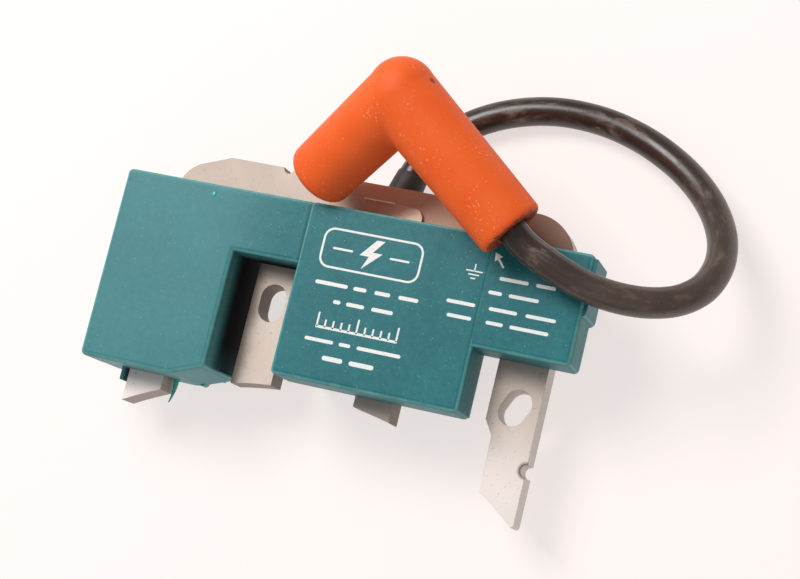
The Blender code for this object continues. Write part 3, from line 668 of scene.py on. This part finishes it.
# Corners rub pale in patches of 3 mm: a point is on a corner where it faces along none of the flat walls
normal = add(tree, "NewGeometry", {}, "Normal")
slant = Vector((CHAMFER[1], -CHAMFER[0], 0.0)).normalized()
flat = add(tree, "VectorMath", {0: normal, 1: tuple(slant)}, "Value", operation="DOT_PRODUCT")
for axis in "XYZ":
    facing = add(tree, "SeparateXYZ", {"Vector": normal}, axis)
    square = add(tree, "Math", {0: facing}, operation="ABSOLUTE")
    flat = add(tree, "Math", {0: flat, 1: square}, operation="MAXIMUM")
rub = add(tree, "TexNoise", {"Vector": place, "Scale": per_mm(3.2), "Detail": 6.0, "Roughness": 0.7})
corner = add(tree, "MapRange", {"Value": flat, "From Min": 0.82, "From Max": 0.995,
                                "To Min": 1.0, "To Max": 0.0}, interpolation_type="SMOOTHSTEP")
patchy_amount = add(tree, "MapRange", {"Value": rub, "From Min": 0.35, "From Max": 0.66, "To Min": 0.5, "To Max": 1.0})
wear = add(tree, "Math", {0: corner, 1: patchy_amount}, operation="MULTIPLY")
# The moulding is cloudy over 16 mm and mottled over 1.4 mm; flecks of dust are 0.2 mm across and 0.9 mm apart
cloud = add(tree, "TexNoise", {"Vector": place, "Scale": per_mm(16), "Detail": 5.0, "Roughness": 0.55})
mottle = add(tree, "TexNoise", {"Vector": place, "Scale": per_mm(1.4), "Detail": 5.0, "Roughness": 0.72})
mottled = add(tree, "MapRange", {"Value": mottle, "From Min": 0.3, "From Max": 0.7, "To Min": -0.26,
                                 "To Max": 0.26})
clouded = add(tree, "Math", {0: cloud, 1: mottled}, operation="ADD", use_clamp=True)
body = add(tree, "Mix", {0: clouded, 6: linear("#13626B"), 7: linear("#298188")}, 2, data_type="RGBA")
fleck = add(tree, "TexVoronoi", {"Vector": place, "Scale": per_mm(0.85)}, "Distance")
choice = add(tree, "TexNoise", {"Vector": place, "Scale": per_mm(2.6), "Detail": 2.0, "Roughness": 0.7})
chosen = add(tree, "MapRange", {"Value": choice, "From Min": 0.47, "From Max": 0.62})
small = add(tree, "MapRange", {"Value": fleck, "From Min": 0.06, "From Max": 0.16, "To Min": 0.85,
                               "To Max": 0.0})
dust = add(tree, "Math", {0: small, 1: chosen}, operation="MULTIPLY")
dusted = add(tree, "Mix", {0: dust, 6: body, 7: linear("#A9C9C6")}, 2, data_type="RGBA")
paling = add(tree, "MapRange", {"Value": rub, "From Min": 0.58, "From Max": 0.75, "To Max": 0.12})
hazed = add(tree, "Mix", {0: paling, 6: dusted, 7: linear("#7FABA9")}, 2, data_type="RGBA")
# Painted sheen: the left block is painted a little paler, where the light falls on it most
painted_left_sheen = add(tree, "MapRange", {"Value": at_x, "From Min": -34 * MM, "From Max": -14 * MM,
                                "To Min": 0.22, "To Max": 0.0}, interpolation_type="SMOOTHSTEP")
teal_tone = add(tree, "Mix", {0: painted_left_sheen, 6: hazed, 7: linear("#7DBDC0")}, 2, data_type="RGBA")
# Painted shade: a dark line in the crease where the bridge meets the centre block
before_centre = add(tree, "MapRange", {"Value": at_x, "From Min": -10.6 * MM, "From Max": -10.3 * MM,
                                       "To Min": 1.0, "To Max": 0.0})
on_step = add(tree, "MapRange", {"Value": at_x, "From Min": -11.5 * MM, "From Max": -10.9 * MM})
behind = add(tree, "MapRange", {"Value": at_y, "From Min": 11 * MM, "From Max": 13 * MM})
crease_shade_mask = on_step
for limit in (before_centre, behind):
    crease_shade_mask = add(tree, "Math", {0: crease_shade_mask, 1: limit}, operation="MULTIPLY")
crease_shade_amount = add(tree, "MapRange", {"Value": crease_shade_mask, "To Max": 0.6})
teal_tone = add(tree, "Mix", {0: crease_shade_amount, 6: teal_tone, 7: linear("#0E3B40")}, 2, data_type="RGBA")
# Painted shade: the bottom of the notch over the screw is painted nearly black, most of all under the bridge
notch_shade_mask = add(tree, "MapRange", {"Value": at_z, "From Min": 18.5 * MM, "From Max": 25.5 * MM,
                              "To Min": 1.0, "To Max": 0.0}, interpolation_type="SMOOTHSTEP")
past_left = add(tree, "MapRange", {"Value": at_x, "From Min": -27.35 * MM, "From Max": -27.15 * MM})
deep = add(tree, "MapRange", {"Value": at_y, "From Min": -19.5 * MM, "From Max": -9 * MM, "To Min": 0.55})
before_back = add(tree, "MapRange", {"Value": at_y, "From Min": 22 * MM, "From Max": 24 * MM,
                                     "To Min": 1.0, "To Max": 0.0})
for limit in (past_left, deep, before_back, before_centre):
    notch_shade_mask = add(tree, "Math", {0: notch_shade_mask, 1: limit}, operation="MULTIPLY")
notch_shaded_tone = add(tree, "Mix", {0: notch_shade_mask, 6: teal_tone, 7: linear("#07100F")}, 2, data_type="RGBA")
skin = add(tree, "Mix", {0: wear, 6: notch_shaded_tone, 7: linear("#6BACAB")}, 2, data_type="RGBA")
# The moulded grain is drawn 0.4 mm, coarser than the real one; the notch's painted shade takes what gloss there
# is
grain = add(tree, "TexNoise", {"Vector": place, "Scale": per_mm(0.4), "Detail": 3.0})
bump = add(tree, "Bump", {"Height": grain, "Strength": 0.2, "Distance": 0.05 * MM})
satin = add(tree, "MapRange", {"Value": rub, "To Min": 0.36, "To Max": 0.54})
rough = add(tree, "Math", {0: satin, 1: notch_shade_mask}, operation="ADD", use_clamp=True)
put(tree, shader, Base_Color=skin, Roughness=rough, Normal=bump, Specular_IOR_Level=0.25)
case.data.materials.clear()
case.data.materials.append(thermoset)
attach(case, "coil")
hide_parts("case")


# ---- Resin ----
# Turquoise casting resin fills the case from below. A sliver of it has run out beside the first leg, and a drop
# has dried on top. It is glossy, with ripples of 7 mm where the skin shrank and bubbles about 2.4 mm apart.
FLASH_ROOT = (-39.75, -19.2, 11.0)
FLASH_TIP = (-40.6, -25.1, 10.4)
FLASH_BOW = 0.35
DROP = Vector((-35.3, 24.4, CASE_HIGH))
resin, tree, shader = new_material("cast_turquoise_resin")
place = add(tree, "TexCoord", {}, "Object")
ripple = add(tree, "TexNoise", {"Vector": place, "Scale": per_mm(7), "Detail": 2.0})
bubble = add(tree, "TexVoronoi", {"Vector": place, "Scale": per_mm(2.4)}, "Distance")
popped = add(tree, "MapRange", {"Value": bubble, "From Min": 0.08, "From Max": 0.2, "To Min": -1.0,
                                "To Max": 0.0})
height = add(tree, "Math", {0: ripple, 1: popped}, operation="ADD")
tint = add(tree, "Mix", {0: ripple, 6: linear("#2FA79F"), 7: linear("#4CC4BB")}, 2, data_type="RGBA")
bump = add(tree, "Bump", {"Height": height, "Strength": 0.6, "Distance": 0.3 * MM})
put(tree, shader, Base_Color=tint, Roughness=0.22, Normal=bump, Subsurface_Weight=0.1,
    Subsurface_Scale=1.0 * MM)

flash = rod("flash_sliver", Vector(FLASH_ROOT), Vector(FLASH_TIP), 0.75, 0.14, 20, 0.1)
shape = bmesh.new()
shape.from_mesh(flash.data)
bmesh.ops.subdivide_edges(shape, edges=[e for e in shape.edges if e.calc_length() > 3 * MM], cuts=8)
for vert in shape.verts:
    gone = (vert.co.y / MM - FLASH_ROOT[1]) / -6.0
    vert.co.x += FLASH_BOW * sin(gone * pi) * MM
bmesh.ops.recalc_face_normals(shape, faces=shape.faces)
shape.to_mesh(flash.data)
shape.free()
flash.data.materials.append(resin)
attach(flash, "coil")
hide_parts("resin_flash")

drop = ball("resin_drop", Vector((0, 0, 0)), 0.6)
drop.data.transform(Matrix.Translation(DROP * MM) @ Matrix.Diagonal((0.9, 1.15, 0.4, 1)))
drop.data.materials.append(resin)
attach(drop, "coil")


# ---- Pad print ----
# White ink, pad printed on the case: a plain sign for high voltage in a frame, ruled bars in place of notes, a
# scale, and an earth sign with an arrow to the blade at the back. The ink is thin, and broken over 0.6 mm.
INK = (-0.01, 0.03)
TICKS, TICK_PITCH = 11, 1.94
ink, tree, shader = new_material("pad_printed_white_ink")
place = add(tree, "TexCoord", {}, "Object")
fleck = add(tree, "TexNoise", {"Vector": place, "Scale": per_mm(0.6), "Detail": 3.0, "Roughness": 0.7})
thin = add(tree, "MapRange", {"Value": fleck, "From Min": 0.55, "From Max": 0.72, "To Max": 0.45})
tone = add(tree, "Mix", {0: thin, 6: linear("#F4F7F6"), 7: linear("#9CC0C0")}, 2, data_type="RGBA")
put(tree, shader, Base_Color=tone, Roughness=0.5)


def stadium(low, high, radius, count=6):
    """A rectangle with round corners."""
    (x0, y0), (x1, y1) = low, high
    corners = [((x1 - radius, y1 - radius), 0), ((x0 + radius, y1 - radius), 90),
               ((x0 + radius, y0 + radius), 180), ((x1 - radius, y0 + radius), 270)]
    return [point for centre, start in corners for point in arc(centre, radius, start, start + 90, count)]


def printed(name, loops):
    """A mark on the top of the block that it lies on."""
    top = RIGHT_HIGH if min(x for x, _ in loops[0]) > CENTRE[1][0] else CENTRE_HIGH
    return plate(name, loops, top + INK[0], top + INK[1])


marks = [
    printed("frame", [stadium((-5.6, 12.2), (18.9, 21.8), 2.6),
                      stadium((-5.1, 12.7), (18.4, 21.3), 2.1)[::-1]]),
    printed("bolt", [[(7.3, 20.6), (3.9, 16.5), (6.2, 16.5), (4.9, 13.3), (9.3, 17.6), (6.9, 17.6),
                      (9.3, 20.6)]]),
]
# Each row: height on the case, stroke, and where its bars start and stop
rows = [
    (17.0, 0.7, [(-2.8, 2.2), (11.2, 16.0)]),
    (8.6, 1.25, [(-5.0, 3.0), (4.4, 7.6), (9.6, 13.4), (15.4, 20.2)]),
    (4.7, 1.25, [(0.4, 2.2), (3.6, 8.0), (9.8, 15.0)]),
    (-4.7, 1.15, [(-4.2, 2.8), (4.2, 7.0), (8.6, 19.2)]),
    (-8.5, 1.5, [(1.0, 6.0), (7.6, 13.6)]),
    (17.4, 1.15, [(37.4, 44.2), (46.0, 50.6)]),
    (13.9, 1.15, [(35.6, 38.8), (40.4, 47.4)]),
    (10.2, 1.15, [(26.6, 33.4), (36.6, 43.2), (45.2, 52.2)]),
    (7.0, 1.15, [(27.4, 33.2), (36.6, 40.6), (42.2, 51.2)]),
]
for number, (level, stroke, bars) in enumerate(rows):
    for start, stop in bars:
        outline = stadium((start, level - stroke * 0.36), (stop, level + stroke * 0.36), stroke * 0.34)
        marks.append(printed(f"bar_{number}_{len(marks)}", [outline]))
marks.append(printed("scale_base", [stadium((-2.4, -1.9), (17.6, -1.3), 0.28)]))
for tick in range(TICKS):
    tall = 3.4 if tick % 5 == 0 else 1.9
    x = -2.1 + tick * TICK_PITCH
    marks.append(printed(f"tick_{tick}", [stadium((x - 0.22, -1.6), (x + 0.22, -1.6 + tall), 0.2)]))
for step, half in enumerate((2.0, 1.3, 0.6)):
    level = 17.9 - step * 0.85
    outline = stadium((31.4 - half, level - 0.15), (31.4 + half, level + 0.15), 0.14)
    marks.append(printed(f"earth_{step}", [outline]))
marks.append(printed("earth_stem", [stadium((31.25, 17.9), (31.55, 19.6), 0.14)]))
marks.append(printed("arrow", [[(37.9, 20.05), (36.4, 21.85), (37.1, 22.4), (35.15, 23.1), (35.4, 21.0),
                                (36.05, 21.55), (37.55, 19.75)]]))
pad_print = join("pad_print", marks, ink)
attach(pad_print, "coil")


# ---- Lead gland ----
# A rubber gland, moulded on the lead where it leaves the case under the yoke. Four ribs near the wall let it
# bend, and a long taper leads down to the cable. A grey bloom lies over it in patches of 4 mm.
gland_rubber, tree, shader = new_material("moulded_black_rubber")
place = add(tree, "TexCoord", {}, "Object")
bloom = add(tree, "TexNoise", {"Vector": place, "Scale": per_mm(4), "Detail": 5.0})
tone = add(tree, "Mix", {0: bloom, 6: linear("#1E1A18"), 7: linear("#3A3431")}, 2, data_type="RGBA")
bump = add(tree, "Bump", {"Height": bloom, "Strength": 0.2, "Distance": 0.1 * MM})
put(tree, shader, Base_Color=tone, Roughness=0.55, Normal=bump)

# Each ring of the gland: how far it is along the lead, and its radius
GLAND_START = 1.25
GLAND_BORE = LEAD_RADIUS + 0.05
RIBS, RIB_PITCH = 4, 1.6
rings = [(GLAND_START, 4.3)]
for rib in range(RIBS):
    start = 1.5 + rib * RIB_PITCH
    rings += [(start, 4.38), (start + 0.6, 4.38), (start + 0.8, 4.0), (start + 1.4, 4.0)]
rings += [(8.2, 4.3), (12.0, 4.28), (16.0, 4.1), (18.6, 3.9), (GLAND_REACH, 3.7)]
shape = bmesh.new()
rings = [(GLAND_START, GLAND_BORE), *rings, (GLAND_REACH, GLAND_BORE)]
profile = [shape.verts.new((radius * MM, 0, at * MM)) for at, radius in rings]
edges = [shape.edges.new(pair) for pair in zip(profile, profile[1:] + profile[:1])]
bmesh.ops.spin(shape, geom=profile + edges, cent=(0, 0, 0), axis=(0, 0, 1), angle=2 * pi, steps=48,
               use_merge=True)
bmesh.ops.remove_doubles(shape, verts=shape.verts, dist=1e-7)
turn = Vector((0, 0, 1)).rotation_difference(LEAD_WAY).to_matrix().to_4x4()
bmesh.ops.transform(shape, matrix=Matrix.Translation(LEAD_EXIT * MM) @ turn, verts=shape.verts)
bmesh.ops.recalc_face_normals(shape, faces=shape.faces)
gland = scene_object("ribbed_gland", finish_mesh("ribbed_gland", shape), gland_rubber)
gland.data.set_sharp_from_angle(angle=radians(50))
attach(gland, "coil")
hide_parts("lead_gland")


# ---- Ground strap and stop blade ----
# Stamped from tinned copper sheet. The strap lies on the yoke and comes out under the case; its free edge has a
# lip, painted with a white highlight along its top. The blade for the stop switch's wire stands out of the back,
# behind the boot.
LIP_HEIGHTS = (17.56, 17.66)
BELOW_BLADE = 19.0
tinned, tree, shader = new_material("stamped_tinned_copper")
place = add(tree, "TexCoord", {}, "Object")
# Stains of 4 mm, and brushed lines 0.3 mm apart across the strap
stain = add(tree, "TexNoise", {"Vector": place, "Scale": per_mm(4), "Detail": 5.0, "Roughness": 0.6})
brushed = add(tree, "Mapping", {"Vector": place, "Scale": (1.0, 0.08, 1.0)})
line = add(tree, "TexNoise", {"Vector": brushed, "Scale": per_mm(0.3), "Detail": 2.0})
tone = add(tree, "Mix", {0: stain, 6: linear("#BC9D86"), 7: linear("#E2CAB8")}, 2, data_type="RGBA")
bump = add(tree, "Bump", {"Height": line, "Strength": 0.25, "Distance": 0.03 * MM})
rough = add(tree, "MapRange", {"Value": stain, "To Min": 0.26, "To Max": 0.5})
at_z = add(tree, "SeparateXYZ", {"Vector": place}, "Z")
# Painted highlight: a thin band along the lip's top is painted near white
lip_band = add(tree, "MapRange", {"Value": at_z, "From Min": LIP_HEIGHTS[0] * MM,
                                   "From Max": LIP_HEIGHTS[1] * MM})
below_blade = add(tree, "Math", {0: at_z, 1: BELOW_BLADE * MM}, operation="LESS_THAN")
painted_lip_highlight = add(tree, "Math", {0: lip_band, 1: below_blade}, operation="MULTIPLY")
tone = add(tree, "Mix", {0: painted_lip_highlight, 6: tone, 7: linear("#FFF6F0")}, 2, data_type="RGBA")
put(tree, shader, Base_Color=tone, Metallic=0.6, Roughness=rough, Normal=bump)

left, right = STRAP
outline = [(left, 22.4), (right, 22.4), *arc((right - 2.5, 29.35), 2.5, 0, 90, 12), (left + 8.5, 31.85),
           (left + 8.1, 32.15), (left + 0.5, 32.15), (left, 31.65)]
strap = join("strap_plate", [
    plate("strap_sheet", [outline], SEAT, CORE_HIGH + 1.1, 0.1),
    box("strap_lip", (left + 0.3, 31.8, SEAT + 0.1), (left + 8.0, 32.12, CORE_HIGH + 1.45), 0.08),
], tinned)
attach(strap, "coil")
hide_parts("ground_strap")


# ---- Pieces that keep their CAD shape ----
# The blade, the resin faces, the windings on their nylon formers, the board with its small parts, and the brass
# contact and plug clip. Each has its own finish.
copper, tree, shader = new_material("enamelled_copper_wire")
place = add(tree, "TexCoord", {}, "Object")
# Turns lie side by side along Y, drawn 0.5 mm apart, coarser than real wire so that they show
turns = add(tree, "TexWave", {"Vector": place, "Scale": per_mm(0.5) / 20, "Distortion": 0.6, "Detail": 1.0},
            1, bands_direction="Y")
tone = add(tree, "Mix", {0: turns, 6: linear("#6E2F17"), 7: linear("#C97A4A")}, 2, data_type="RGBA")
bump = add(tree, "Bump", {"Height": turns, "Strength": 0.8, "Distance": 0.15 * MM})
put(tree, shader, Base_Color=tone, Metallic=0.9, Roughness=0.28, Normal=bump, Coat_Weight=0.5,
    Coat_Roughness=0.15)

brass, tree, shader = new_material("turned_brass")
place = add(tree, "TexCoord", {}, "Object")
age = add(tree, "TexNoise", {"Vector": place, "Scale": per_mm(3), "Detail": 5.0})
tone = add(tree, "Mix", {0: age, 6: linear("#B08A3C"), 7: linear("#E0C078")}, 2, data_type="RGBA")
bump = add(tree, "Bump", {"Height": age, "Strength": 0.15, "Distance": 0.05 * MM})
put(tree, shader, Base_Color=tone, Metallic=1.0, Roughness=0.3, Normal=bump)


def moulded(name, dark, light, size, roughness, coat=0.0):
    """A plain moulded, dipped or lacquered finish with clouding and a fine grain of the given size."""
    made, tree, shader = new_material(name)
    place = add(tree, "TexCoord", {}, "Object")
    cloud = add(tree, "TexNoise", {"Vector": place, "Scale": per_mm(size * 12), "Detail": 4.0})
    grain = add(tree, "TexNoise", {"Vector": place, "Scale": per_mm(size), "Detail": 3.0})
    tone = add(tree, "Mix", {0: cloud, 6: linear(dark), 7: linear(light)}, 2, data_type="RGBA")
    bump = add(tree, "Bump", {"Height": grain, "Strength": 0.2, "Distance": 0.06 * MM})
    put(tree, shader, Base_Color=tone, Roughness=roughness, Normal=bump, Coat_Weight=coat)
    return made


nylon = moulded("moulded_natural_nylon", "#D3CDBB", "#EDE9DC", 0.3, 0.48)
epoxy = moulded("transfer_moulded_epoxy", "#17171A", "#2A2A2E", 0.2, 0.5)
film = moulded("dipped_yellow_film", "#B98D22", "#E0B93F", 0.8, 0.25, 0.5)
laminate = moulded("lacquered_glass_laminate", "#1F5C33", "#357A48", 0.4, 0.35, 0.4)

kept = {
    copper: ["charge_winding", "primary_winding", *[f"secondary_winding_{section}" for section in (1, 2, 3, 4)],
             "charge_wire", "primary_wire", "capacitor_wire"],
    nylon: ["charge_bobbin", "primary_bobbin", "secondary_bobbin", "resistor_1", "resistor_2"],
    epoxy: ["thyristor", "timing_chip", "diode_1", "diode_2"],
    film: ["storage_capacitor"],
    laminate: ["circuit_board"],
    brass: ["ht_contact", "plug_clip"],
    tinned: ["kill_terminal"],
    resin: ["potting_left", "potting_centre"],
}
for material, names in kept.items():
    for name in names:
        for slot in nodes[name].material_slots:
            slot.material = material


# ---- Table and light ----
# A matt white light table, which glows a little itself, under an even studio sky. A broad soft light stands
# behind the coil's left end and a weak one in front of it, so that shadows are short and faint.
TABLE_HALF = 4.0
table_white, tree, shader = new_material("matt_white_table")
put(tree, shader, Base_Color=linear("#A7A19F"), Roughness=0.9, Specular_IOR_Level=0.1,
    Emission_Color=linear("#FFF8F6"), Emission_Strength=0.68)
shape = bmesh.new()
bmesh.ops.create_grid(shape, x_segments=1, y_segments=1, size=TABLE_HALF)
table = scene_object("table", finish_mesh("table", shape, False), table_white)

world = bpy.context.scene.world or bpy.data.worlds.new("studio")
bpy.context.scene.world = world
world.use_nodes = True
sky = world.node_tree.nodes["Background"]
sky.inputs["Color"].default_value = linear("#FFFBF9")
sky.inputs["Strength"].default_value = 0.34

# Each lamp: its name, place, size in metres, power in watts and colour
LIGHTS = [
    ("key", (-0.34, 0.33, 0.7), 0.4, 5.2, "#FFFDFA"),
    ("fill", (0.1, -0.6, 0.6), 0.6, 0.4, "#FFF6F0"),
]
for name, at, size, power, tone in LIGHTS:
    lamp = bpy.data.lights.new(name, "AREA")
    lamp.size, lamp.energy, lamp.color = size, power, linear(tone)[:3]
    holder = bpy.data.objects.new(name, lamp)
    holder.location = at
    holder.rotation_euler = (Vector((0.0, 0.01, 0.0)) - Vector(at)).to_track_quat("-Z", "Y").to_euler()
    bpy.context.scene.collection.objects.link(holder)
bpy.context.scene.view_settings.view_transform = "Standard"
